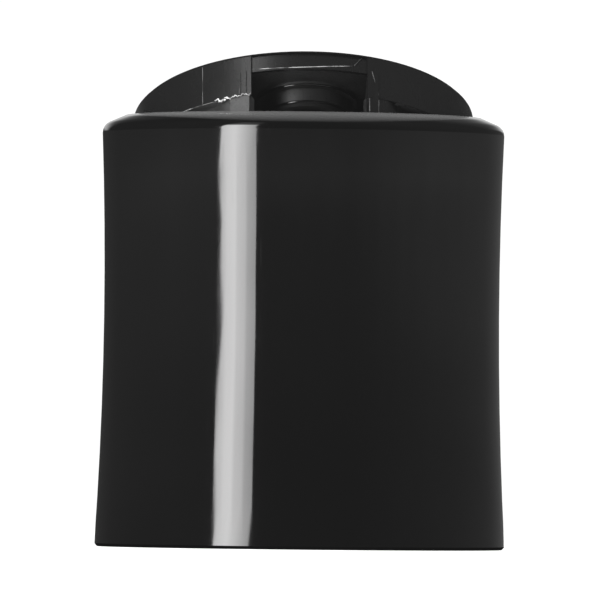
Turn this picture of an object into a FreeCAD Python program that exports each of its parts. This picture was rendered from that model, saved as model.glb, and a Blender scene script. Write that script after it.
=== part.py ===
import FreeCAD, Part

# Disc top cap for a 24/410 bottle neck, in millimetres, with the disc tipped open.
# The cap is two mouldings. The cap body is the smooth skirt that screws on the neck, with the
# round well, the spout and the pivot sockets in its top. The disc top is the round toggle that
# snaps into the sockets: its rear is pressed down and its front tips up and opens the spout.
# The origin is the centre of the bottom edge, +Z is up, and the front, where it pours, is -Y.

import math
import os
import re

import Sketcher

# Every driving size, in millimetres and degrees. Each becomes a cell of the sheet with this name.
SIZES = {
    # Outside of the cap body
    "rim_height": 28.8,
    "base_wall": 1.3,
    "rim_wall": 1.82,
    "waist_curve": 265.0,
    "base_chamfer": 0.2,
    "rim_slope": 23.0,
    "rim_flat": 0.25,
    "rim_chamfer": 0.12,
    "shoulder_round": 0.8,
    # Neck bore, its entry, the deck over it and the ring that seals in the bottle's mouth
    "neck_radius": 12.15,
    "entry_relief": 0.25,
    "entry_depth": 2.4,
    "neck_depth": 15.0,
    "neck_top_radius": 11.5,
    "deck_underside": 17.0,
    "deck_thickness": 1.2,
    "seal_outer_radius": 9.55,
    "seal_wall": 0.6,
    "seal_depth": 2.0,
    "seal_taper": 0.15,
    # Right-hand screw thread in the neck bore
    "thread_pitch": 3.175,
    "thread_turns": 1.75,
    "thread_start": 4.4,
    "thread_height": 1.1,
    "thread_root": 1.9,
    "thread_crest": 0.7,
    # Disc: round plate with a skirt below its edge
    "disc_radius": 11.35,
    "disc_gap": 0.25,
    "disc_chamfer": 0.2,
    "plate_thickness": 1.3,
    "skirt_depth": 3.0,
    "skirt_wall": 1.0,
    "lintel_recess": 0.15,
    "dish_offset": 5.4,
    "dish_radius": 4.4,
    "dish_side": 1.9,
    "dish_depth": 0.35,
    "rib_spacing": 6.4,
    "rib_wall": 0.6,
    "rib_start": 1.6,
    "rib_depth": 2.6,
    # Pivot pins of the disc and their sockets in the well wall
    "pivot_depth": 1.9,
    "open_angle": 22.0,
    "pin_radius": 0.85,
    "pin_reach": 0.7,
    "pin_chamfer": 0.2,
    "pin_gap": 0.06,
    "pin_end_gap": 0.2,
    # Spout on the deck
    "spout_offset": 5.9,
    "spout_bore_radius": 2.95,
    "spout_wall": 0.7,
    "spout_lead": 0.3,
    "spout_gap": 0.55,
    "spout_chamfer": 0.15,
    # Plug under the disc that closes the spout
    "plug_gap": 0.08,
    "plug_bite": 0.9,
    "plug_wall": 0.75,
    "plug_base_radius": 3.35,
    "plug_base_depth": 0.3,
    "plug_tip_chamfer": 0.3,
    # Hood round the spout that guides the flow to the window in the disc's skirt
    "hood_gap": 0.19,
    "hood_wall": 0.7,
    "hood_depth": 5.0,
    "hood_rear_depth": 2.5,
    "hood_slope_run": 2.1,
    "hood_setback": 0.85,
    "hood_front_slant": 0.5,
    # Ledges in the well that stop the disc, closed and open
    "stop_gap": 0.05,
    "front_ledge_width": 0.85,
    "front_ledge_start": 36.0,
    "front_ledge_end": 62.0,
    "rear_ledge_width": 2.2,
    "rear_ledge_angle": 20.0,
    # How far a cut runs past what it cuts, and a ledge runs into its wall
    "overrun": 0.4,
}

# Sizes and levels that follow from the sheet. In the cap they are heights above the bottom edge.
ENTRY_RADIUS = "(neck_radius + entry_relief)"
BASE_RADIUS = f"({ENTRY_RADIUS} + base_wall)"
WELL_RADIUS = "(disc_radius + disc_gap)"
TOP_RADIUS = f"({WELL_RADIUS} + rim_wall)"
DECK_TOP = "(deck_underside + deck_thickness)"
PIVOT_HEIGHT = "(rim_height - pivot_depth)"
SPOUT_RADIUS = "(spout_bore_radius + spout_wall)"
SPOUT_TOP = "(rim_height - plate_thickness - spout_gap)"
SOCKET_END = "(disc_radius + pin_reach + pin_end_gap)"
CLOSED_STOP = "(rim_height - skirt_depth - stop_gap)"
OPEN_DROP = "(disc_radius * sin(open_angle) + (skirt_depth - pivot_depth) * cos(open_angle))"
OPEN_STOP = f"({PIVOT_HEIGHT} - {OPEN_DROP} - stop_gap)"
# In the disc they are heights above the pivot.
UNDERSIDE = "(pivot_depth - plate_thickness)"
SKIRT_EDGE = "(pivot_depth - skirt_depth)"
PLUG_RADIUS = "(spout_bore_radius - plug_gap)"
PLUG_TIP = f"({UNDERSIDE} - spout_gap - plug_bite)"
HOOD_INSIDE = f"({SPOUT_RADIUS} + hood_gap)"
HOOD_OUTSIDE = f"({HOOD_INSIDE} + hood_wall)"
HOOD_FRONT = "(disc_radius - hood_setback)"
HOOD_EDGE = "(pivot_depth - hood_depth)"

CUTS = ("PartDesign::Pocket", "PartDesign::Groove", "PartDesign::Chamfer")
SKETCH_ORIGIN = (-1, 1)
START, END, CENTRE = 1, 2, 3
SHOULDER_STEPS = 4


def make_sheet(document):
    """Put every driving size in a spreadsheet cell that carries the size's name."""
    sheet = document.addObject("Spreadsheet::Sheet", "Sizes")
    for row, (name, value) in enumerate(SIZES.items(), start=1):
        sheet.set(f"A{row}", name)
        sheet.set(f"B{row}", str(value))
        sheet.setAlias(f"B{row}", name)
    document.recompute()
    return sheet


def in_sheet(formula):
    """Write the sheet's name before each size that a formula names."""
    return re.sub(r"[a-z_]+", lambda word: "Sizes." + word[0] if word[0] in SIZES else word[0], formula)


def amount(formula):
    """Work out a formula with the sheet's present values."""
    return float(SHEET.evalExpression(in_sheet(formula)))


def tie(thing, prop, formula):
    """Bind a property to a formula in the sheet's sizes."""
    thing.setExpression(prop, in_sheet(formula))


def make_sketch(body, name, role, lift="0"):
    """Attach a sketch to one of the body's origin planes, lifted along the plane's normal."""
    plane = next(feature for feature in body.Origin.OriginFeatures if feature.Role == role)
    sketch = body.newObject("Sketcher::SketchObject", name)
    sketch.AttachmentSupport = (plane, [""])
    sketch.MapMode = "FlatFace"
    tie(sketch, ".AttachmentOffset.Base.z", lift)
    return sketch


def dimension(sketch, kind, places, formula):
    """Add a dimension that follows a formula."""
    number = sketch.addConstraint(Sketcher.Constraint(kind, *places, amount(formula)))
    tie(sketch, f"Constraints[{number}]", formula)


def locate(sketch, curve, end, across, along):
    """Tie a point of a curve to its place from the sketch's origin."""
    for kind, formula in (("DistanceX", across), ("DistanceY", along)):
        if amount(formula) < 0:
            dimension(sketch, kind, (curve, end, *SKETCH_ORIGIN), f"-({formula})")
        else:
            dimension(sketch, kind, (*SKETCH_ORIGIN, curve, end), formula)


def arc_between(start, end, radius):
    """The shorter arc from start to end: it bulges right of the way there, or left if negative.

    A sketch holds arcs anticlockwise, so the second value says which end of the arc start is."""
    middle = (start + end) / 2
    way = end - start
    to_left = FreeCAD.Vector(-way.y, way.x, 0).normalize()
    rise = math.sqrt(max(radius ** 2 - (way.Length / 2) ** 2, 0))
    centre = middle + to_left * math.copysign(rise, radius)
    angles = [math.atan2(point.y - centre.y, point.x - centre.x) for point in (start, end)]
    first = START if radius > 0 else END
    if first == END:
        angles.reverse()
    circle = Part.Circle(centre, FreeCAD.Vector(0, 0, 1), abs(radius))
    return Part.ArcOfCircle(circle, *angles), first


def outline(sketch, corners, arcs=None):
    """Draw a closed outline through corners, each a pair of formulas for its place.

    arcs gives the radius of the arc that leaves a corner, by the corner's number."""
    arcs = arcs or {}
    base = sketch.GeometryCount
    count = len(corners)
    points = [FreeCAD.Vector(amount(across), amount(along), 0) for across, along in corners]
    firsts = []
    for number, point in enumerate(points):
        following = points[(number + 1) % count]
        curve, first = Part.LineSegment(point, following), START
        if number in arcs:
            curve, first = arc_between(point, following, amount(arcs[number]))
        sketch.addGeometry(curve, False)
        firsts.append(first)
    for number, first in enumerate(firsts):
        following = (number + 1) % count
        last = END if first == START else START
        sketch.addConstraint(
            Sketcher.Constraint("Coincident", base + number, last, base + following, firsts[following]))
    for number, (across, along) in enumerate(corners):
        locate(sketch, base + number, firsts[number], across, along)
    for number, radius in arcs.items():
        dimension(sketch, "Radius", (base + number,), radius if amount(radius) > 0 else f"-({radius})")


def circle(sketch, across, along, radius):
    """Draw a circle with its centre and radius tied to formulas."""
    centre = FreeCAD.Vector(amount(across), amount(along), 0)
    number = sketch.addGeometry(Part.Circle(centre, FreeCAD.Vector(0, 0, 1), amount(radius)), False)
    locate(sketch, number, CENTRE, across, along)
    dimension(sketch, "Radius", (number,), radius)


def upright_axis(sketch, across):
    """Draw an upright construction line, the first curve of its sketch, to turn a profile about."""
    ends = [FreeCAD.Vector(amount(across), height, 0) for height in (0, 1)]
    number = sketch.addGeometry(Part.LineSegment(*ends), True)
    locate(sketch, number, START, across, "0")
    locate(sketch, number, END, across, "1")


def turn(body, kind, name, sketch, axis, angle="360", centred=False):
    """Turn a profile about an axis of its sketch: kind is Revolution, or Groove for a cut."""
    feature = body.newObject(f"PartDesign::{kind}", name)
    feature.Profile = sketch
    feature.ReferenceAxis = (sketch, [axis])
    tie(feature, "Angle", angle)
    feature.Midplane = centred
    return finish(feature)


def raise_or_cut(body, kind, name, sketch, length, down=False, centred=False):
    """Raise a profile by a length with kind Pad, or sink it into the body with kind Pocket."""
    feature = body.newObject(f"PartDesign::{kind}", name)
    feature.Profile = sketch
    tie(feature, "Length", length)
    feature.Reversed = down
    feature.Midplane = centred
    return finish(feature)


def mirror(body, name, feature, role="YZ_Plane"):
    """Repeat a feature on the other side of one of the body's origin planes."""
    copy = body.newObject("PartDesign::Mirrored", name)
    copy.Originals = [feature]
    plane = next(item for item in body.Origin.OriginFeatures if item.Role == role)
    copy.MirrorPlane = (plane, [""])
    body.Tip = copy
    return finish(copy)


def ring_edges(feature, radius, height):
    """Names of a feature's round edges of a given radius whose centre is at a given height."""
    found = []
    for number, edge in enumerate(feature.Shape.Edges, start=1):
        if edge.Curve.TypeId != "Part::GeomCircle":
            continue
        radius_off = abs(edge.Curve.Radius - amount(radius))
        height_off = abs(edge.Curve.Center.z - amount(height))
        if radius_off < 1e-4 and height_off < 1e-4:
            found.append(f"Edge{number}")
    return found


def bevel(body, name, base, edges, size):
    """Cut a 45 degree bevel along edges of a feature."""
    feature = body.newObject("PartDesign::Chamfer", name)
    feature.Base = (base, edges)
    tie(feature, "Size", size)
    return finish(feature)


def finish(feature):
    """Compute a feature and check that it changed the body as its kind should."""
    feature.Document.recompute()
    if "Invalid" in feature.State or "Error" in feature.State or feature.Shape.isNull():
        raise RuntimeError(f"{feature.Name} could not be made: {feature.State}")
    base = getattr(feature, "BaseFeature", None)
    if base is not None:
        change = feature.Shape.Volume - base.Shape.Volume
        if abs(change) < 1e-6 or (change > 0) == (feature.TypeId in CUTS):
            raise RuntimeError(f"{feature.Name} changed the volume by {change}")
    return feature


def cap_shell(body):
    """Skirt, well, deck, neck bore and seal ring: one profile turned about the cap's axis.

    The shoulder's small round is drawn as a few chords, all within 0.01 mm of the arc."""
    seal_inner_radius = "(seal_outer_radius - seal_wall)"
    seal_edge = "(deck_underside - seal_depth)"
    side_top = "(rim_height - (rim_wall - rim_flat) * tan(rim_slope))"
    waist_top = f"({side_top} - shoulder_round * tan((90 - rim_slope) / 2))"
    shoulder = []
    for step in range(SHOULDER_STEPS + 1):
        turned = f"((90 - rim_slope) * {step} / {SHOULDER_STEPS})"
        across = f"{TOP_RADIUS} - shoulder_round * (1 - cos({turned}))"
        shoulder.append((across, f"{waist_top} + shoulder_round * sin({turned})"))
    sketch = make_sketch(body, "shell_profile", "XZ_Plane")
    outline(
        sketch,
        [
            (f"{BASE_RADIUS} - base_chamfer", "0"),
            (BASE_RADIUS, "base_chamfer"),
            *shoulder,
            (f"{WELL_RADIUS} + rim_flat", "rim_height"),
            (f"{WELL_RADIUS} + rim_chamfer", "rim_height"),
            (WELL_RADIUS, "rim_height - rim_chamfer"),
            (WELL_RADIUS, DECK_TOP),
            ("0", DECK_TOP),
            ("0", "deck_underside"),
            (seal_inner_radius, "deck_underside"),
            (f"{seal_inner_radius} + seal_taper", seal_edge),
            ("seal_outer_radius - seal_taper", seal_edge),
            ("seal_outer_radius", "deck_underside"),
            ("neck_top_radius", "deck_underside"),
            ("neck_top_radius", "neck_depth + neck_radius - neck_top_radius"),
            ("neck_radius", "neck_depth"),
            ("neck_radius", "entry_depth + entry_relief"),
            (ENTRY_RADIUS, "entry_depth"),
            (ENTRY_RADIUS, "0"),
        ],
        {1: "-waist_curve"},
    )
    turn(body, "Revolution", "shell", sketch, "V_Axis")


def cap_thread(body):
    """Right-hand screw thread: a trapezoid carried up the neck bore along a helix."""
    sketch = make_sketch(body, "thread_profile", "XZ_Plane")
    crest = "(neck_radius - thread_height)"
    outline(
        sketch,
        [
            ("neck_radius + overrun / 2", "thread_start - thread_root / 2"),
            ("neck_radius + overrun / 2", "thread_start + thread_root / 2"),
            ("neck_radius", "thread_start + thread_root / 2"),
            (crest, "thread_start + thread_crest / 2"),
            (crest, "thread_start - thread_crest / 2"),
            ("neck_radius", "thread_start - thread_root / 2"),
        ],
    )
    thread = body.newObject("PartDesign::AdditiveHelix", "thread")
    thread.Profile = sketch
    thread.ReferenceAxis = (sketch, ["V_Axis"])
    thread.Mode = "pitch-turns-angle"
    tie(thread, "Pitch", "thread_pitch")
    tie(thread, "Turns", "thread_turns")
    thread.LeftHanded = False
    finish(thread)


def cap_spout(body):
    """Upright tube on the deck in front of the centre, with its bore straight through the deck."""
    sketch = make_sketch(body, "spout_outline", "XY_Plane", DECK_TOP)
    circle(sketch, "0", "-spout_offset", SPOUT_RADIUS)
    tube = raise_or_cut(body, "Pad", "spout_tube", sketch, f"{SPOUT_TOP} - {DECK_TOP}")
    lip = ring_edges(tube, SPOUT_RADIUS, SPOUT_TOP)
    bevel(body, "spout_lip", tube, lip, "spout_chamfer")
    sketch = make_sketch(body, "spout_bore_profile", "YZ_Plane")
    upright_axis(sketch, "-spout_offset")
    outline(
        sketch,
        [
            ("-spout_offset", "deck_underside - overrun"),
            ("spout_bore_radius - spout_offset", "deck_underside - overrun"),
            ("spout_bore_radius - spout_offset", f"{SPOUT_TOP} - spout_lead"),
            ("spout_bore_radius + spout_lead - spout_offset", SPOUT_TOP),
            ("spout_bore_radius + spout_lead - spout_offset", f"{SPOUT_TOP} + overrun"),
            ("-spout_offset", f"{SPOUT_TOP} + overrun"),
        ],
    )
    turn(body, "Groove", "spout_bore", sketch, "Axis0")


def cap_sockets(body):
    """Two blind round holes in the well wall that the disc's pins snap into."""
    sketch = make_sketch(body, "socket_outline", "YZ_Plane")
    circle(sketch, "0", PIVOT_HEIGHT, "pin_radius + pin_gap")
    raise_or_cut(body, "Pocket", "pivot_sockets", sketch, f"2 * {SOCKET_END}", centred=True)


def ledge_outline(sketch, inner, outer, start, stop, side):
    """A stretch of ring between two angles, counted from +Y if side is 1 or from -Y if it is -1."""
    bend = -side
    outline(
        sketch,
        [
            (f"{inner} * sin({start})", f"{side} * {inner} * cos({start})"),
            (f"{outer} * sin({start})", f"{side} * {outer} * cos({start})"),
            (f"{outer} * sin({stop})", f"{side} * {outer} * cos({stop})"),
            (f"{inner} * sin({stop})", f"{side} * {inner} * cos({stop})"),
        ],
        {1: f"{bend} * {outer}", 3: f"{-bend} * {inner}"},
    )


def cap_ledges(body):
    """Ledges on the well wall: the disc's skirt lands on two in front when shut, and one behind when open."""
    into_wall = f"({WELL_RADIUS} + overrun)"
    sketch = make_sketch(body, "front_ledge_outline", "XY_Plane", DECK_TOP)
    inner = f"({WELL_RADIUS} - front_ledge_width)"
    ledge_outline(sketch, inner, into_wall, "front_ledge_start", "front_ledge_end", -1)
    ledge = raise_or_cut(body, "Pad", "front_ledge", sketch, f"{CLOSED_STOP} - {DECK_TOP}")
    mirror(body, "front_ledges", ledge)
    sketch = make_sketch(body, "rear_ledge_outline", "XY_Plane", DECK_TOP)
    inner = f"({WELL_RADIUS} - rear_ledge_width)"
    ledge_outline(sketch, inner, into_wall, "-rear_ledge_angle", "rear_ledge_angle", 1)
    raise_or_cut(body, "Pad", "rear_ledge", sketch, f"{OPEN_STOP} - {DECK_TOP}")


def make_cap_body(document):
    """The cap body, one moulding, with its features in the order a moulder would name them."""
    body = document.addObject("PartDesign::Body", "cap_body")
    cap_shell(body)
    cap_thread(body)
    cap_spout(body)
    cap_sockets(body)
    cap_ledges(body)
    return body


def disc_hood(body):
    """U-shaped wall round the spout, open to the front, with its lower edge cut on a slope."""
    sketch = make_sketch(body, "hood_outline", "XY_Plane", UNDERSIDE)
    outline(
        sketch,
        [
            (f"-{HOOD_OUTSIDE}", f"-{HOOD_FRONT}"),
            (f"-{HOOD_INSIDE}", f"-{HOOD_FRONT}"),
            (f"-{HOOD_INSIDE}", "-spout_offset"),
            ("0", f"{HOOD_INSIDE} - spout_offset"),
            (HOOD_INSIDE, "-spout_offset"),
            (HOOD_INSIDE, f"-{HOOD_FRONT}"),
            (HOOD_OUTSIDE, f"-{HOOD_FRONT}"),
            (HOOD_OUTSIDE, "-spout_offset"),
            ("0", f"{HOOD_OUTSIDE} - spout_offset"),
            (f"-{HOOD_OUTSIDE}", "-spout_offset"),
        ],
        {2: f"-{HOOD_INSIDE}", 3: f"-{HOOD_INSIDE}", 7: HOOD_OUTSIDE, 8: HOOD_OUTSIDE},
    )
    raise_or_cut(body, "Pad", "hood_wall", sketch, f"{UNDERSIDE} - {HOOD_EDGE}", down=True)
    sketch = make_sketch(body, "hood_trim_outline", "YZ_Plane")
    rear = f"{HOOD_OUTSIDE} - spout_offset + overrun"
    rear_edge = "pivot_depth - hood_rear_depth"
    slope_front = "-(spout_offset + hood_slope_run)"
    below = f"{HOOD_EDGE} - overrun"
    outline(
        sketch,
        [
            (rear, rear_edge),
            ("-spout_offset", rear_edge),
            (slope_front, HOOD_EDGE),
            (slope_front, below),
            (rear, below),
        ],
    )
    outline(
        sketch,
        [
            (f"-{HOOD_FRONT}", SKIRT_EDGE),
            (f"hood_front_slant - {HOOD_FRONT}", HOOD_EDGE),
            (f"hood_front_slant - {HOOD_FRONT}", below),
            (f"-{HOOD_FRONT} - overrun", below),
            (f"-{HOOD_FRONT} - overrun", SKIRT_EDGE),
        ],
    )
    across = f"2 * ({HOOD_OUTSIDE} + overrun)"
    raise_or_cut(body, "Pocket", "hood_trim", sketch, across, centred=True)


def disc_plate(body):
    """Round plate with a bevelled top edge and the skirt below its rim."""
    sketch = make_sketch(body, "plate_profile", "XZ_Plane")
    outline(
        sketch,
        [
            ("0", UNDERSIDE),
            ("disc_radius - skirt_wall", UNDERSIDE),
            ("disc_radius - skirt_wall", SKIRT_EDGE),
            ("disc_radius", SKIRT_EDGE),
            ("disc_radius", "pivot_depth - disc_chamfer"),
            ("disc_radius - disc_chamfer", "pivot_depth"),
            ("0", "pivot_depth"),
        ],
    )
    turn(body, "Revolution", "plate", sketch, "V_Axis")


def disc_window(body):
    """The opening in the skirt between the hood's walls, with the lintel over it set back a little."""
    skirt_inside = "(disc_radius - skirt_wall)"
    inner = f"sqrt({skirt_inside} ^ 2 - {HOOD_INSIDE} ^ 2) - overrun / 4"
    sketch = make_sketch(body, "window_outline", "XY_Plane", UNDERSIDE)
    outline(
        sketch,
        [
            (f"-{HOOD_INSIDE}", "-(disc_radius + overrun)"),
            (HOOD_INSIDE, "-(disc_radius + overrun)"),
            (HOOD_INSIDE, f"-({inner})"),
            (f"-{HOOD_INSIDE}", f"-({inner})"),
        ],
    )
    depth = "skirt_depth - plate_thickness + overrun"
    raise_or_cut(body, "Pocket", "window", sketch, depth)
    sketch = make_sketch(body, "lintel_profile", "YZ_Plane")
    outline(
        sketch,
        [
            ("-(disc_radius + overrun)", f"{UNDERSIDE} - overrun"),
            ("lintel_recess - disc_radius", f"{UNDERSIDE} - overrun"),
            ("lintel_recess - disc_radius", "pivot_depth - disc_chamfer"),
            ("-(disc_radius + overrun)", "pivot_depth - disc_chamfer"),
        ],
    )
    turn(body, "Groove", "lintel", sketch, "V_Axis", f"2 * asin({HOOD_INSIDE} / disc_radius)", True)


def disc_plug(body):
    """Ring on a low boss under the plate that seats in the spout's bore."""
    boss_edge = f"({UNDERSIDE} - plug_base_depth)"
    sketch = make_sketch(body, "plug_profile", "YZ_Plane")
    upright_axis(sketch, "-spout_offset")
    outline(
        sketch,
        [
            (f"{PLUG_RADIUS} - plug_wall - spout_offset", UNDERSIDE),
            (f"{PLUG_RADIUS} - plug_wall - spout_offset", PLUG_TIP),
            (f"{PLUG_RADIUS} - plug_tip_chamfer - spout_offset", PLUG_TIP),
            (f"{PLUG_RADIUS} - spout_offset", f"{PLUG_TIP} + plug_tip_chamfer"),
            (f"{PLUG_RADIUS} - spout_offset", boss_edge),
            ("plug_base_radius - spout_offset", boss_edge),
            ("plug_base_radius - spout_offset", UNDERSIDE),
        ],
    )
    turn(body, "Revolution", "plug", sketch, "Axis0")


def disc_pins(body):
    """Two short pins on the skirt, in line through the pivot, bevelled to snap into the sockets."""
    root = "(disc_radius - skirt_wall)"
    tip = "(disc_radius + pin_reach)"
    sketch = make_sketch(body, "pin_outline", "YZ_Plane", root)
    circle(sketch, "0", "0", "pin_radius")
    pin = raise_or_cut(body, "Pad", "pin", sketch, f"{tip} - {root}")
    pins = mirror(body, "pins", pin)
    ends = []
    for name in ring_edges(pins, "pin_radius", "0"):
        middle = pins.Shape.getElement(name).CenterOfMass
        if abs(abs(middle.x) - amount(tip)) < 1e-4:
            ends.append(name)
    bevel(body, "pin_ends", pins, ends, "pin_chamfer")


def disc_ribs(body):
    """Two ribs under the rear of the plate that keep it flat where it is pressed."""
    sketch = make_sketch(body, "rib_outline", "XY_Plane", UNDERSIDE)
    near = "(rib_spacing - rib_wall) / 2"
    far = "(rib_spacing + rib_wall) / 2"
    into_skirt = "sqrt((disc_radius - skirt_wall / 2) ^ 2 - (rib_spacing / 2) ^ 2)"
    outline(sketch, [(near, "rib_start"), (far, "rib_start"), (far, into_skirt), (near, into_skirt)])
    rib = raise_or_cut(body, "Pad", "rib", sketch, "rib_depth - plate_thickness", down=True)
    mirror(body, "ribs", rib)


def disc_dish(body):
    """Shallow flat-floored hollow in the rear of the plate where the thumb presses."""
    sketch = make_sketch(body, "dish_profile", "YZ_Plane")
    upright_axis(sketch, "dish_offset")
    outline(
        sketch,
        [
            ("dish_offset", "pivot_depth - dish_depth"),
            ("dish_offset + dish_radius - dish_side", "pivot_depth - dish_depth"),
            ("dish_offset + dish_radius", "pivot_depth"),
            ("dish_offset + dish_radius", "pivot_depth + overrun"),
            ("dish_offset", "pivot_depth + overrun"),
        ],
    )
    turn(body, "Groove", "thumb_dish", sketch, "Axis0")


def make_disc_top(document):
    """The disc, one moulding, drawn about its pivot and then set in the cap, tipped open."""
    body = document.addObject("PartDesign::Body", "disc_top")
    disc_hood(body)
    disc_plate(body)
    disc_window(body)
    disc_plug(body)
    disc_ribs(body)
    disc_pins(body)
    disc_dish(body)
    tipped = FreeCAD.Rotation(FreeCAD.Vector(1, 0, 0), -amount("open_angle"))
    body.Placement = FreeCAD.Placement(FreeCAD.Vector(0, 0, amount(PIVOT_HEIGHT)), tipped)
    tie(body, ".Placement.Base.z", PIVOT_HEIGHT)
    tie(body, ".Placement.Rotation.Angle", "-open_angle")
    return body


def check(document):
    """Stop if any object failed to compute."""
    for item in document.Objects:
        if "Invalid" in item.State or "Error" in item.State:
            raise RuntimeError(f"{item.Label} is {item.State}")


def export(parts):
    """Check each moulding's solid and write it to a file with the moulding's name."""
    for part in parts:
        shape = part.Shape
        if shape.isNull() or not shape.isValid() or len(shape.Solids) != 1:
            raise RuntimeError(f"{part.Label} is not one valid solid")
    os.makedirs("parts", exist_ok=True)
    for part in parts:
        part.Shape.exportStep(os.path.join("parts", f"{part.Label}.step"))
        print(part.Label, round(part.Shape.Volume, 2), "mm3")


DOCUMENT = FreeCAD.newDocument("disc_top_cap")
SHEET = make_sheet(DOCUMENT)
PARTS = [make_cap_body(DOCUMENT), make_disc_top(DOCUMENT)]
DOCUMENT.recompute()
check(DOCUMENT)
export(PARTS)
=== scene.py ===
import math

import bpy
import numpy as np
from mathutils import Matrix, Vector


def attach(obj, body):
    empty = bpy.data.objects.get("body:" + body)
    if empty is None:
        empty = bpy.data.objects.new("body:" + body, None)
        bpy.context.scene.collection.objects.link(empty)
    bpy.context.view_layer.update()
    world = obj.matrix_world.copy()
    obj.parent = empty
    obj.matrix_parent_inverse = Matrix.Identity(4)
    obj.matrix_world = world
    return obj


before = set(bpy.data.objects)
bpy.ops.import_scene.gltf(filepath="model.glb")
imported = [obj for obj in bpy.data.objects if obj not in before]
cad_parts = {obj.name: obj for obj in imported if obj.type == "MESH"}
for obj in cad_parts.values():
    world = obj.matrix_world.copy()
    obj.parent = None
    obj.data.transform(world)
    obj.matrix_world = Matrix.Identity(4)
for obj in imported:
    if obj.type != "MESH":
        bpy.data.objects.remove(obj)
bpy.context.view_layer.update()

MM = 0.001
scene = bpy.context.scene


# The camera: a long lens 720 mm in front of the cap, near the table and looking slightly up, turned
# 2 degrees towards the cap's left side and rolled by 0.6 degrees. The lens carries a faint veil of
# stray light from the white surround, which keeps the deepest blacks of the picture dark grey.

CAMERA_DISTANCE = 720 * MM
CAMERA_HEIGHT = 6 * MM
CAMERA_AZIMUTH = math.radians(-2)
CAMERA_ROLL = math.radians(0.6)
VIEW_WIDTH = 40.08 * MM
AIM = (-0.12 * MM, 0, 16.57 * MM)
LENS_VEIL = 0.007

camera_data = bpy.data.cameras.new("camera")
camera = bpy.data.objects.new("camera", camera_data)
scene.collection.objects.link(camera)
camera.location = (
    CAMERA_DISTANCE * math.sin(CAMERA_AZIMUTH),
    -CAMERA_DISTANCE * math.cos(CAMERA_AZIMUTH),
    CAMERA_HEIGHT,
)
rise = math.atan2(AIM[2] - CAMERA_HEIGHT, CAMERA_DISTANCE)
turn = math.atan2(AIM[0] - camera.location.x, AIM[1] - camera.location.y)
camera.rotation_mode = "XYZ"
camera.rotation_euler = (math.pi / 2 + rise, 0, -turn)
camera.rotation_euler.rotate_axis("Z", CAMERA_ROLL)
camera_data.sensor_width = 36
camera_data.lens = camera_data.sensor_width * CAMERA_DISTANCE / VIEW_WIDTH
camera_data.clip_start = 0.05
camera_data.clip_end = 20
scene.camera = camera

scene.view_settings.view_transform = "Standard"
scene.view_settings.use_curve_mapping = True
scene.view_settings.curve_mapping.black_level = (-LENS_VEIL, -LENS_VEIL, -LENS_VEIL)
scene.view_settings.curve_mapping.update()


# The table and the lights: a round white table top under the cap, one tall narrow softbox in front
# on the left, leaning a little, whose bright side is away from the camera, and a diffused lamp
# overhead that brings out the rim and the disc's front without a glint of its own.

TABLE_RADIUS = 300 * MM
TABLE_SIDES = 96
TABLE_GREY = 0.3
TABLE_ROUGHNESS = 0.6
TABLE_GLOW = 0.8

SOFTBOX_FROM = math.radians(27.8)
SOFTBOX_TO = math.radians(48.2)
SOFTBOX_DISTANCE = 560 * MM
SOFTBOX_MIDDLE = 100 * MM
SOFTBOX_BOTTOM = -200 * MM
SOFTBOX_TOP = 900 * MM
SOFTBOX_LEAN = math.radians(3)
SOFTBOX_RADIANCE = 15.5

# Place across the softbox, and up it, as a part of its width and height, and the brightness there
SOFTBOX_ACROSS = ((0.0, 0.8), (0.11, 0.87), (0.38, 1.0), (0.64, 0.77), (0.9, 0.53), (1.0, 0.45))
SOFTBOX_UPWARD = ((0.0, 1.0), (0.5, 1.0), (0.545, 0.6), (0.575, 0.15), (0.7, 0.06), (1.0, 0.05))

LAMP_PLACE = (0, -330 * MM, 850 * MM)
LAMP_SIZE = 250 * MM
LAMP_POWER = 15.0


def add(tree, kind, inputs=(), **settings):
    """Put a node of one kind in a node tree, with its settings and the values of some inputs."""
    made = tree.nodes.new(kind)
    for name, value in settings.items():
        setattr(made, name, value)
    for name, value in dict(inputs).items():
        made.inputs[name].default_value = value
    return made


def compute(tree, operation, *operands):
    """Join operands, each a socket or a number, with one arithmetic node, and give its result."""
    made = add(tree, "ShaderNodeMath", operation=operation)
    for socket, operand in zip(made.inputs, operands):
        if isinstance(operand, (int, float)):
            socket.default_value = operand
        else:
            tree.links.new(operand, socket)
    return made.outputs[0]


def grey_ramp(tree, factor, stops):
    """A grey level that follows a factor from 0 to 1 in straight runs between stops."""
    made = add(tree, "ShaderNodeValToRGB")
    for number, (place, level) in enumerate(stops):
        if number < 2:
            stop = made.color_ramp.elements[number]
            stop.position = place
        else:
            stop = made.color_ramp.elements.new(place)
        stop.color = (level, level, level, 1)
    tree.links.new(factor, made.inputs["Fac"])
    return made.outputs["Color"]


table_mesh = bpy.data.meshes.new("table_top")
around = np.linspace(0, 2 * np.pi, TABLE_SIDES, endpoint=False)
edge = np.stack([TABLE_RADIUS * np.cos(around), TABLE_RADIUS * np.sin(around), 0 * around], 1)
table_mesh.from_pydata(edge.tolist(), [], [list(range(TABLE_SIDES))])
table = bpy.data.objects.new("table_top", table_mesh)
scene.collection.objects.link(table)
table_paint = bpy.data.materials.new("white_table")
table_paint.use_nodes = True
shader = table_paint.node_tree.nodes["Principled BSDF"]
shader.inputs["Base Color"].default_value = (TABLE_GREY, TABLE_GREY, TABLE_GREY, 1)
shader.inputs["Roughness"].default_value = TABLE_ROUGHNESS
shader.inputs["Emission Color"].default_value = (1, 1, 1, 1)
shader.inputs["Emission Strength"].default_value = TABLE_GLOW
table_mesh.materials.append(table_paint)

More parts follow.
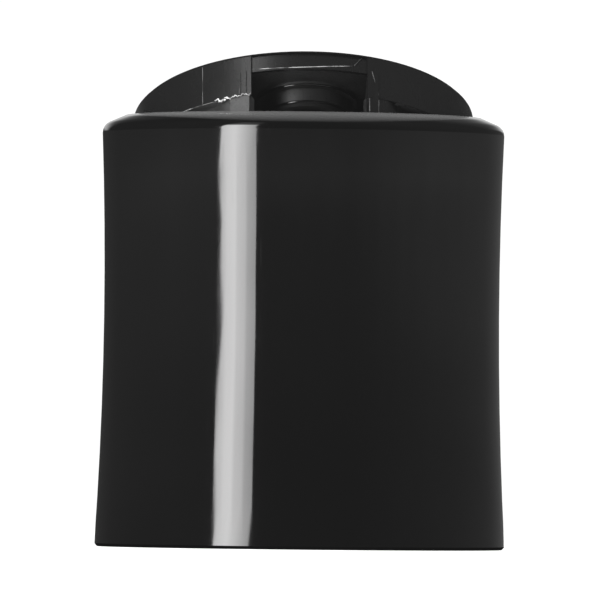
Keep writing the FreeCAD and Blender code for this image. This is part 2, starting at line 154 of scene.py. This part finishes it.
softbox_middle = (SOFTBOX_FROM + SOFTBOX_TO) / 2 - CAMERA_AZIMUTH
softbox_data = bpy.data.lights.new("softbox", "AREA")
softbox_data.shape = "RECTANGLE"
softbox_data.size = 2 * SOFTBOX_DISTANCE * math.tan((SOFTBOX_TO - SOFTBOX_FROM) / 2)
softbox_data.size_y = SOFTBOX_TOP - SOFTBOX_BOTTOM
softbox_data.energy = SOFTBOX_RADIANCE * math.pi * softbox_data.size * softbox_data.size_y
softbox = bpy.data.objects.new("softbox", softbox_data)
scene.collection.objects.link(softbox)
away = Vector(
    (
        -SOFTBOX_DISTANCE * math.sin(softbox_middle),
        -SOFTBOX_DISTANCE * math.cos(softbox_middle),
        0,
    )
)
softbox.rotation_mode = "XYZ"
softbox.rotation_euler = away.to_track_quat("Z", "Y").to_euler("XYZ")
softbox.rotation_euler.rotate_axis("Z", SOFTBOX_LEAN)
raised = Vector((0, (SOFTBOX_TOP + SOFTBOX_BOTTOM) / 2 - SOFTBOX_MIDDLE, 0))
raised.rotate(softbox.rotation_euler)
softbox.location = away + Vector((0, 0, SOFTBOX_MIDDLE)) + raised
softbox_data.use_nodes = True
cloth = softbox_data.node_tree
glow = cloth.nodes["Emission"]
place = add(cloth, "ShaderNodeNewGeometry")
sides = add(cloth, "ShaderNodeSeparateXYZ")
cloth.links.new(place.outputs["Parametric"], sides.inputs["Vector"])
across = grey_ramp(cloth, sides.outputs["X"], SOFTBOX_ACROSS)
upward = grey_ramp(cloth, sides.outputs["Y"], SOFTBOX_UPWARD)
cloth.links.new(compute(cloth, "MULTIPLY", across, upward), glow.inputs["Strength"])

lamp_data = bpy.data.lights.new("lamp", "AREA")
lamp_data.shape = "SQUARE"
lamp_data.size = LAMP_SIZE
lamp_data.energy = LAMP_POWER
lamp = bpy.data.objects.new("lamp", lamp_data)
scene.collection.objects.link(lamp)
lamp.location = LAMP_PLACE
lamp.rotation_mode = "XYZ"
lamp.rotation_euler = Vector(LAMP_PLACE).to_track_quat("Z", "Y").to_euler("XYZ")
lamp.visible_glossy = False


# The room: a white surround that the camera sees, and what the gloss reflects of it: grey walls
# that differ with the direction and grow brighter towards the floor, and a low white sweep behind
# the cap, which widens upwards on the right.

SEEN_WHITE = 1.05

# Degrees from the front towards the right, and the walls' brightness there
WALLS = (
    (-180, 0.03), (-160, 0.04), (-133, 0.066), (-120, 0.095), (-80, 0.18), (-55, 0.17),
    (-25, 0.095), (30, 0.095), (61, 0.165), (83, 0.20), (109, 0.17), (133, 0.115), (180, 0.1),
)
WALLS_TURNED = -2

# How the walls' brightness changes with height, above the horizon and under it: slope and start
ABOVE_HORIZON = (-9.0, 1.24)
ABOVE_LEAST = 0.6
BELOW_HORIZON = (-30.0, 1.2)
BELOW_MOST = 2.9

# Part of the half turn from the horizon behind, over the top, to the front, and brightness there
SWEEP = (
    (0.0, 0.0), (0.015, 0.0), (0.03, 0.7), (0.055, 0.6), (0.08, 0.27), (0.1, 0.12),
    (0.135, 0.04), (0.3, 0.0),
)
SWEEP_LEFT = (-0.5, -0.3)
SWEEP_RIGHT = (0.74, 0.47)
SWEEP_FOOT = 0.11
SWEEP_SPREAD = 1.5

world = bpy.data.worlds.new("studio")
scene.world = world
world.use_nodes = True
room = world.node_tree
room.nodes.clear()
ways = add(room, "ShaderNodeTexCoord")
parts = add(room, "ShaderNodeSeparateXYZ")
room.links.new(ways.outputs["Generated"], parts.inputs["Vector"])
east, north, high = parts.outputs
round_about = compute(room, "ARCTAN2", east, compute(room, "MULTIPLY", north, -1.0))
walls = grey_ramp(
    room,
    compute(room, "MULTIPLY_ADD", round_about, 0.5 / math.pi, 0.5),
    [
        ((azimuth + WALLS_TURNED) / 360 + 0.5 if azimuth > -180 else 0.0, level)
        for azimuth, level in WALLS
    ],
)
above = compute(room, "MULTIPLY_ADD", high, *ABOVE_HORIZON)
above = compute(room, "MAXIMUM", above, ABOVE_LEAST)
below = compute(room, "MULTIPLY_ADD", high, *BELOW_HORIZON)
below = compute(room, "MINIMUM", below, BELOW_MOST)
lower_is_brighter = compute(room, "MAXIMUM", above, below)
walls = compute(room, "MULTIPLY", walls, lower_is_brighter)
over = compute(room, "ARCTAN2", high, north)
sweep = grey_ramp(room, compute(room, "MULTIPLY", over, 1 / math.pi), SWEEP)
beside = compute(room, "ARCSINE", east)
left_end = add(
    room,
    "ShaderNodeMapRange",
    {"From Min": SWEEP_LEFT[0], "From Max": SWEEP_LEFT[1]},
    interpolation_type="SMOOTHSTEP",
)
room.links.new(beside, left_end.inputs["Value"])
widening = compute(room, "ADD", compute(room, "MAXIMUM", over, 0.0), SWEEP_FOOT)
right_end = add(room, "ShaderNodeMapRange", interpolation_type="SMOOTHSTEP")
room.links.new(beside, right_end.inputs["Value"])
fading_out = compute(room, "MULTIPLY", widening, SWEEP_SPREAD)
fading_out = compute(room, "MINIMUM", fading_out, SWEEP_RIGHT[0])
full_width = compute(room, "MINIMUM", widening, SWEEP_RIGHT[1])
room.links.new(fading_out, right_end.inputs["From Min"])
room.links.new(full_width, right_end.inputs["From Max"])
sweep = compute(room, "MULTIPLY", sweep, left_end.outputs["Result"])
sweep = compute(room, "MULTIPLY", sweep, right_end.outputs["Result"])
unseen = add(room, "ShaderNodeBackground")
room.links.new(compute(room, "ADD", walls, sweep), unseen.inputs["Strength"])
seen = add(room, "ShaderNodeBackground", {"Color": (1, 1, 1, 1), "Strength": SEEN_WHITE})
unseen.inputs["Color"].default_value = (1, 1, 1, 1)
path = add(room, "ShaderNodeLightPath")
choose = add(room, "ShaderNodeMixShader")
out = add(room, "ShaderNodeOutputWorld")
room.links.new(path.outputs["Is Camera Ray"], choose.inputs["Fac"])
room.links.new(unseen.outputs["Background"], choose.inputs[1])
room.links.new(seen.outputs["Background"], choose.inputs[2])
room.links.new(choose.outputs["Shader"], out.inputs["Surface"])


# The cap body is one moulding in black polypropylene. Its outside comes from a polished mould, with
# the slow waves and faint hairlines that such a skin shows. Its bore, well and spout are left dull.

CAP_SKIN_RADIUS = 11.7 * MM
CAP_SKIN_HEIGHT = 29 * MM
WAVE_LENGTH = 9 * MM
WAVE_HEIGHT = 0.08 * MM
CLOUD_LENGTH = 2.5 * MM
HAIRLINE_WIDTH = 0.12 * MM
HAIRLINE_STRETCH = 30
HAIRLINE_ABOVE = 0.72
HAIRLINE_ROUGHNESS = 0.05
GRAIN_DEPTH = 0.006 * MM
GRAIN_STRENGTH = 0.3
NOISE_ROUGHNESS = 0.55

# Factor and offset that make a multiplier of a noise from 0 to 1
CLOUD_SWING = (0.5, 0.75)
GRAIN_SWING = (2.4, -0.2)
STREAK_SWING = (0.8, 0.6)

# The rim's slope gets a painted highlight: its colour rises to a paler grey near the top of the
# rim, paler still towards the sides.
RIM_PAINTED_SHEEN = (28.05 * MM, 28.68 * MM, 0.068, 4.2, 8000.0)
SHEEN_LEAST = 0.1 * MM
FOOT_MATT = (-1, 0.21 * MM, 0)
PLASTIC_IOR = 1.49
WELD_BELOW = 0.001 * MM
SMOOTH_BELOW = math.radians(25)


def moulded_black(
    name,
    within,
    polish,
    inner,
    waves,
    place=(0, 0, 0),
    tip=0,
    painted_sheen=None,
    matt=(1, 1, 1),
    grit=0.09,
):
    """Black moulded plastic, polished outside and dull inside.

    within is the radius and height that bound the dull inside, and the height below which all is
    dull, counted in the moulding's own frame, which lies at place and is tipped about X. polish and
    inner are each a grey and a roughness.
    Roughness wanders with slow noise and thin scratches, and the surface carries long shallow waves
    of height waves outside and a fine eroded grain inside. worn sets a painted highlight, a band of
    paler grey: the height from which the colour rises to that grey, the height where it is reached,
    that grey, and how fast, with the square of the distance to the side, the first height and the
    grey go up. matt is the two heights between which an edge has no shine, and the radius where it
    starts; left out, there is no such edge. grit is the length of the eroded grain in millimetres."""
    material = bpy.data.materials.new(name)
    material.use_nodes = True
    tree = material.node_tree
    shader = tree.nodes["Principled BSDF"]
    shader.inputs["IOR"].default_value = PLASTIC_IOR
    spot = add(tree, "ShaderNodeTexCoord").outputs["Object"]
    own = add(
        tree,
        "ShaderNodeMapping",
        {"Location": place, "Rotation": (tip, 0, 0)},
        vector_type="TEXTURE",
    )
    tree.links.new(spot, own.inputs["Vector"])
    axes = add(tree, "ShaderNodeSeparateXYZ")
    tree.links.new(own.outputs["Vector"], axes.inputs["Vector"])
    squares = [
        compute(tree, "MULTIPLY", axes.outputs[side], axes.outputs[side]) for side in ("X", "Y")
    ]
    radius = compute(tree, "SQRT", compute(tree, "ADD", *squares))
    inside = compute(
        tree,
        "MULTIPLY",
        compute(
            tree,
            "MAXIMUM",
            compute(tree, "LESS_THAN", radius, within[0]),
            compute(tree, "LESS_THAN", axes.outputs["Z"], within[2]),
        ),
        compute(tree, "LESS_THAN", axes.outputs["Z"], within[1]),
    )
    outside = compute(tree, "SUBTRACT", 1.0, inside)

    def noise(wave, detail, stretch=(1, 1, 1)):
        """Noise from 0 to 1 with a given wavelength, longer along the axes that stretch names."""
        spread = add(tree, "ShaderNodeMapping", {"Scale": tuple(1 / factor for factor in stretch)})
        tree.links.new(own.outputs["Vector"], spread.inputs["Vector"])
        sizes = {"Scale": 1 / wave, "Detail": detail, "Roughness": NOISE_ROUGHNESS}
        made = add(tree, "ShaderNodeTexNoise", sizes)
        tree.links.new(spread.outputs["Vector"], made.inputs["Vector"])
        return made.outputs["Fac"]

    cloudy = noise(CLOUD_LENGTH, 2.0)
    grain = noise(grit * MM, 3.0)
    streaks = noise(HAIRLINE_WIDTH, 1.0, (1, 1, HAIRLINE_STRETCH))
    hairlines = compute(tree, "GREATER_THAN", streaks, HAIRLINE_ABOVE)
    tone = compute(tree, "MULTIPLY_ADD", grain, *GRAIN_SWING)
    for socket_name, part in (("Base Color", 0), ("Roughness", 1)):
        level = compute(
            tree,
            "ADD",
            compute(tree, "MULTIPLY", inside, compute(tree, "MULTIPLY", tone, inner[part])),
            compute(tree, "MULTIPLY", outside, polish[part]),
        )
        if socket_name == "Roughness":
            wander = compute(tree, "MULTIPLY_ADD", cloudy, *CLOUD_SWING)
            level = compute(tree, "MULTIPLY", level, wander)
            marks = compute(tree, "MULTIPLY", hairlines, outside)
            marks = compute(tree, "MULTIPLY", marks, HAIRLINE_ROUGHNESS)
            level = compute(tree, "ADD", level, marks)
        # The rim's paler band is a painted highlight, streaked by the grain noise.
        elif painted_sheen:
            sheen_from, sheen_full, sheen_grey, from_growth, grey_growth = painted_sheen
            sheen_level = add(tree, "ShaderNodeMapRange", {"From Max": sheen_full, "To Max": sheen_grey})
            tree.links.new(axes.outputs["Z"], sheen_level.inputs["Value"])
            lower_end = compute(tree, "MULTIPLY_ADD", squares[0], from_growth, sheen_from)
            lower_end = compute(tree, "MINIMUM", lower_end, sheen_full - SHEEN_LEAST)
            tree.links.new(lower_end, sheen_level.inputs["From Min"])
            sheen_level = compute(tree, "MULTIPLY", sheen_level.outputs["Result"], outside)
            paler = compute(tree, "MULTIPLY_ADD", squares[0], grey_growth, 1.0)
            sheen_level = compute(tree, "MULTIPLY", sheen_level, paler)
            streaky = compute(tree, "MULTIPLY_ADD", grain, *STREAK_SWING)
            level = compute(tree, "ADD", level, compute(tree, "MULTIPLY", sheen_level, streaky))
        tree.links.new(level, shader.inputs[socket_name])
    slow = add(tree, "ShaderNodeBump", {"Strength": 1.0, "Distance": waves})
    swell = compute(tree, "MULTIPLY", noise(WAVE_LENGTH, 0.0), outside)
    tree.links.new(swell, slow.inputs["Height"])
    over_foot = compute(tree, "GREATER_THAN", axes.outputs["Z"], matt[0])
    under_top = compute(tree, "LESS_THAN", axes.outputs["Z"], matt[1])
    far_out = compute(tree, "GREATER_THAN", radius, matt[2])
    dull_edge = compute(tree, "MULTIPLY", compute(tree, "MULTIPLY", over_foot, under_top), far_out)
    shine = compute(tree, "MULTIPLY_ADD", dull_edge, -0.5, 0.5)
    tree.links.new(shine, shader.inputs["Specular IOR Level"])
    eroded = add(tree, "ShaderNodeBump", {"Strength": GRAIN_STRENGTH, "Distance": GRAIN_DEPTH})
    tree.links.new(compute(tree, "MULTIPLY", grain, inside), eroded.inputs["Height"])
    tree.links.new(slow.outputs["Normal"], eroded.inputs["Normal"])
    tree.links.new(eroded.outputs["Normal"], shader.inputs["Normal"])
    return material


def smooth(moulding, by_area=False):
    """Weld a moulding's loose triangles, and smooth its shading where faces meet at less than
    SMOOTH_BELOW, with the larger faces counting for more where by_area is set."""
    weld = moulding.modifiers.new("weld", "WELD")
    weld.merge_threshold = WELD_BELOW
    split = moulding.modifiers.new("split", "EDGE_SPLIT")
    split.split_angle = SMOOTH_BELOW
    if by_area:
        even = moulding.modifiers.new("even", "WEIGHTED_NORMAL")
        even.mode = "FACE_AREA"
        even.keep_sharp = True
    moulding.data.shade_smooth()


def dress(moulding, material):
    """Give a moulding one material all over."""
    moulding.data.materials.clear()
    moulding.data.materials.append(material)


cap_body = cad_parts["cap_body"]
smooth(cap_body, by_area=True)
cap_black = moulded_black(
    "polished_black",
    within=(CAP_SKIN_RADIUS, CAP_SKIN_HEIGHT, -1.0),
    polish=(0.0012, 0.07),
    inner=(0.008, 0.4),
    waves=WAVE_HEIGHT,
    # painted highlight on the rim's slope
    painted_sheen=RIM_PAINTED_SHEEN,
    matt=FOOT_MATT,
)
dress(cap_body, cap_black)


# The disc top is the second moulding, in the same plastic from a mould with a finer, satin skin. It
# snaps into the cap by its two pins. Its underside, hood and plug have a dull spark-eroded finish.

PIVOT = (0, 0, 26.9 * MM)
TIPPED = math.radians(-22)
DISC_SKIN_RADIUS = 10.9 * MM
DISC_SKIN_HEIGHT = 1.4 * MM
DISC_SKIN_FOOT = -3 * MM
DISC_WAVE_HEIGHT = 0.03 * MM
BEVEL_MATT = (1.69 * MM, 1.895 * MM, 10 * MM)

disc_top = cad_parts["disc_top"]
smooth(disc_top)
disc_black = moulded_black(
    "satin_black",
    within=(DISC_SKIN_RADIUS, DISC_SKIN_HEIGHT, DISC_SKIN_FOOT),
    polish=(0.0055, 0.27),
    inner=(0.014, 0.45),
    waves=DISC_WAVE_HEIGHT,
    place=PIVOT,
    tip=TIPPED,
    matt=BEVEL_MATT,
)
dress(disc_top, disc_black)


# Inside the disc's skirt, on each side of the hood, stands a short curved web of the same moulding
# with a coarse spark-eroded face. It shows in the gap between the tipped disc and the rim, and so
# does the underface of the skirt beside it. The web and underface on the left carry paler greys
# than those on the right, as painted light from the softbox on the left.

ALL_DULL = (1.0, 1.0, 1.0)
WEB_TURN = (20.3, 52.0)
WEB_INNER = 10.38
WEB_OUTER = ((27.5, 11.3), (36, 10.6))
WEB_TOP = -1.0
WEB_FOOT = (-2.3, -1.35)
UNDERFACE_TURN = (31, 52)
UNDERFACE_HEIGHTS = (-1.115, -1.09)
UNDERFACE_RADII = (10.45, 11.28)


def tip_open(points):
    """Turn points in millimetres about the pivot, as the disc stands open, and give metres."""
    across, forward, up = np.moveaxis(points, -1, 0)
    cosine, sine = math.cos(TIPPED), math.sin(TIPPED)
    turned = np.stack([across, forward * cosine - up * sine, forward * sine + up * cosine], -1)
    return turned * MM + np.array(PIVOT)


def close_up(name, rings, material, body):
    """A closed surface over a row of rings, an array of rings by points by 3, with a point that
    closes each end at the mean of its ring. Points go round against the way that rings follow."""
    count, size = rings.shape[:2]
    points = np.concatenate([rings.reshape(-1, 3), rings[[0, -1]].mean(1)])
    row, column = np.meshgrid(np.arange(count - 1), np.arange(size), indexing="ij")
    following = (column + 1) % size
    near, far = row * size, (row + 1) * size
    sides = np.stack([near + column, far + column, far + following, near + following], -1)
    sides = sides.reshape(-1, 4)
    place = np.arange(size)
    after = (place + 1) % size
    last = (count - 1) * size
    start = np.stack([0 * place + count * size, place, after], -1)
    end = np.stack([0 * place + count * size + 1, last + after, last + place], -1)
    mesh = bpy.data.meshes.new(name)
    mesh.from_pydata(points.tolist(), [], sides.tolist() + start.tolist() + end.tolist())
    mesh.materials.append(material)
    piece = bpy.data.objects.new(name, mesh)
    scene.collection.objects.link(piece)
    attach(piece, body)
    return piece


# Both greys of these dull faces are lifted as painted light from the softbox, the palest for the
# skirt's left underface.
web_black, lit_underface_black = (
    moulded_black(
        name,
        within=ALL_DULL,
        polish=(0.005, 0.36),
        inner=(grey, 0.5),
        waves=0.0,
        place=PIVOT,
        tip=TIPPED,
        grit=0.15,
    )
    for name, grey in (("eroded_painted_light_black", 0.04), ("underface_painted_light", 0.12))
)


def web(name, side, turned, foot, top, inner, outer, material):
    """A curved wall inside the skirt: its section is the box between two heights and two radii,
    which may change along it, carried round by degrees from the front, to the right where side
    is 1 and to the left where it is -1."""
    turned, foot, top, inner, outer = np.broadcast_arrays(turned, foot, top, inner, outer)
    radii = np.stack([inner, outer, outer, inner], -1)
    heights = np.stack([foot, foot, top, top], -1)
    angle = side * np.radians(turned)[:, None]
    rings = np.stack([radii * np.sin(angle), -radii * np.cos(angle), heights], -1)
    close_up(name, tip_open(rings[::-side]), material, "disc")


turned = np.linspace(*WEB_TURN, 64)
foot = np.interp(turned, WEB_TURN, WEB_FOOT)
outer = np.interp(turned, *zip(*WEB_OUTER))
# The left web gets the paler eroded grey as painted light; the right web keeps the skirt's darker
# black.
web("disc_web_left", -1, turned, foot, WEB_TOP, WEB_INNER, outer, web_black)
web("disc_web_right", 1, turned, foot, WEB_TOP, WEB_INNER, outer, disc_black)
turned = np.linspace(*UNDERFACE_TURN, 40)
# The left underface gets the palest grey as painted light of the softbox; the right one gets a
# darker grey.
for name, side, material in (
    ("underface_left", -1, lit_underface_black),
    ("underface_right", 1, web_black),
):
    web(name, side, turned, *UNDERFACE_HEIGHTS, *UNDERFACE_RADII, material)


# At the corner where the hood's left wall meets the skirt, the real moulding runs on smoothly: a
# thin skin continues the skirt's satin side across it and, below that, the web's rough face up to
# the window's edge.

# Degrees from the front, heights over the pivot, and radii
COVER_SKIRT = ((21.4, 23.7), (-1.08, 0.66), (11.2, 11.42))
COVER_FOOT = ((20.4, 23.7), (-2.25, -1.1), (11.1, 11.41))

for name, (turns, heights, radii), material in (
    ("hood_cover_skirt", COVER_SKIRT, disc_black),
    ("hood_cover_foot", COVER_FOOT, web_black),
):
    web(name, -1, np.linspace(*turns, 12), *heights, *radii, material)


# Thin flash and witness lines of the mould's parting: along the lintel's lower edge and its slanted
# end, up the skirt, down the hood's front edges and seams, and a torn fringe, paler in patches,
# with one tuft under the skirt's left. Heights and radii are in millimetres from the pivot and the
# axis.

SKIRT_SIDE = 11.34
LINTEL_TURN = (-19.6, 15.2)
LINTEL_HEIGHT = (0.0006, 0.0084, 0.74)
LINTEL_SIDE = 11.21
SKIRT_FLASH_TURN = (-49.0, -33.0)
SKIRT_FLASH_HEIGHT = -1.1
TORN_TURN = (-33.5, -19.9)
TORN_HEIGHT = -1.03
TORN_WAVES = ((1.0, 1.9, 0.0), (0.7, 4.7, 1.0), (0.4, 9.1, 2.0))
TORN_RISE = 0.06
TORN_SAG = 0.1
THICK_AT = -29.8
THICK_OVER = 1.7
COVER_SIDE = 11.43
TUFT_TURN = (-31.6, -27.8)
TUFT_HEIGHT = -1.13
TUFT_SIDE = 11.36
OFF_ALL_LINES = (0.31, 0.22, 0.93)
RIDGE_SIDES = 8
PALE_PATCH_RANGE = (0.42, 0.62)
FLASH_ROUGHNESS = 0.4


def ridge(name, line, thickness, material):
    """A round ridge along a line: at each of its points a circle square to the line, with a radius
    that thickness gives there, and both ends drawn in. The circles start from a direction that is
    square to the line and to OFF_ALL_LINES, which no line follows."""
    along = np.gradient(line, axis=0)
    along /= np.linalg.norm(along, axis=1, keepdims=True)
    side = np.cross(along, OFF_ALL_LINES)
    side /= np.linalg.norm(side, axis=1, keepdims=True)
    up = np.cross(side, along)
    run = np.linspace(0, 1, len(line))
    drawn_in = np.sqrt(np.clip(np.minimum(run, 1 - run) * 12, 0.02, 1))
    radii = (thickness * drawn_in)[:, None, None]
    turns = np.linspace(0, 2 * np.pi, RIDGE_SIDES, endpoint=False)[:, None]
    rings = line[:, None] + radii * (np.cos(turns) * side[:, None] + np.sin(turns) * up[:, None])
    piece = close_up(name, rings, material, "disc")
    piece.data.shade_smooth()


def on_skirt(turned, height, radius):
    """Points on the disc's side, by degrees from the front towards the right, height over the pivot
    and distance from the axis."""
    angle = np.radians(turned)
    forward = -radius * np.cos(angle)
    return tip_open(np.stack([radius * np.sin(angle), forward, height + 0 * angle], -1))


def pale_flash(name, pale, dark, wave):
    """Thin flash, paler in places: the colour wanders between two greys with noise."""
    material = bpy.data.materials.new(name)
    material.use_nodes = True
    tree = material.node_tree
    shader = tree.nodes["Principled BSDF"]
    shader.inputs["Roughness"].default_value = FLASH_ROUGHNESS
    shader.inputs["IOR"].default_value = PLASTIC_IOR
    spot = add(tree, "ShaderNodeTexCoord").outputs["Object"]
    patches = add(tree, "ShaderNodeTexNoise", {"Scale": 1 / wave, "Detail": 1.0})
    tree.links.new(spot, patches.inputs["Vector"])
    chosen = add(
        tree,
        "ShaderNodeMapRange",
        {"From Min": PALE_PATCH_RANGE[0], "From Max": PALE_PATCH_RANGE[1], "To Min": dark, "To Max": pale},
    )
    tree.links.new(patches.outputs["Fac"], chosen.inputs["Value"])
    tree.links.new(chosen.outputs["Result"], shader.inputs["Base Color"])
    return material


faint_line = pale_flash("faint_flash", 0.09, 0.02, 0.8 * MM)
lintel_line = pale_flash("lintel_flash", 0.3, 0.03, 0.9 * MM)
torn_line = pale_flash("torn_flash", 0.5, 0.02, 0.5 * MM)
tuft_line = pale_flash("torn_tuft", 0.75, 0.35, 0.3 * MM)

turned = np.linspace(*LINTEL_TURN, 90)
lintel = on_skirt(turned, np.polyval(LINTEL_HEIGHT, turned), LINTEL_SIDE)
ridge("lintel_flash", lintel, 0.03 * MM, lintel_line)

for name, turns, heights, radius, thickness, line in (
    ("lintel_end", (15.2, 18.0), (1.0, 1.66), 11.23, 0.028, faint_line),
    ("skirt_witness", (-38.0, -38.0), (-1.08, 1.67), 11.345, 0.025, faint_line),
    ("hood_edge_inner", (20.6, 20.6), (-1.15, -2.15), 11.3, 0.03, faint_line),
    ("hood_edge_outer", (24.0, 24.0), (-1.15, -2.15), 11.3, 0.03, faint_line),
    ("hood_seam_left", (-23.3, -24.0), (0.8, -0.9), SKIRT_SIDE, 0.03, lintel_line),
    ("hood_seam_right", (21.4, 23.8), (0.8, -0.9), SKIRT_SIDE, 0.03, faint_line),
):
    straight = on_skirt(np.linspace(*turns, 60), np.linspace(*heights, 60), radius)
    ridge(name, straight, thickness * MM, line)

turned = np.linspace(*SKIRT_FLASH_TURN, 90)
along_foot = on_skirt(turned, SKIRT_FLASH_HEIGHT, SKIRT_SIDE)
ridge("skirt_flash", along_foot, 0.028 * MM, lintel_line)

turned = np.linspace(*TORN_TURN, 160)
ragged = sum(size * np.sin(turned * rate + start) for size, rate, start in TORN_WAVES)
thick = np.exp(-(((turned - THICK_AT) / THICK_OVER) ** 2))
torn = np.clip(0.026 + 0.012 * ragged + 0.05 * thick, 0.012, 0.1)
outward = np.interp(turned, (-25.0, -23.9), (SKIRT_SIDE, COVER_SIDE))
fringe = on_skirt(turned, TORN_HEIGHT + TORN_RISE * ragged - TORN_SAG * thick, outward)
ridge("torn_flash", fringe, torn * MM, torn_line)

turned = np.linspace(*TUFT_TURN, 50)
wavy = TUFT_HEIGHT + 0.05 * np.sin(turned * 5) + 0.05 * (turned + 30)
thickness = 0.06 + 0.02 * np.sin(turned * 7)
ridge("torn_tuft", on_skirt(turned, wavy, TUFT_SIDE), thickness * MM, tuft_line)


# The plug's boss and its tip have softly rounded edges in the real moulding, finer than a bevel of
# the solid. Each is a smooth half ring here, and catches the softbox as a thin bright crescent.

ALL_POLISHED = (0.0, -1.0, -1.0)
PLUG_AXIS = -5.9

# Name, radius and height over the pivot, and radius of the rounding, all in millimetres
PLUG_EDGES = (
    ("plug_boss_edge", 3.32, 0.36, 0.08),
    ("plug_tip_edge", 2.78, -0.62, 0.085),
)

edge_black = moulded_black(
    "edge_black",
    within=ALL_POLISHED,
    polish=(0.0012, 0.12),
    inner=(0.0, 0.5),
    waves=0.0,
)
angle = np.radians(np.linspace(-80, 80, 80))
for name, radius, height, rounding in PLUG_EDGES:
    forward = PLUG_AXIS - radius * np.cos(angle)
    line = np.stack([radius * np.sin(angle), forward, height + 0 * angle], -1)
    ridge(name, tip_open(line), rounding * MM, edge_black)
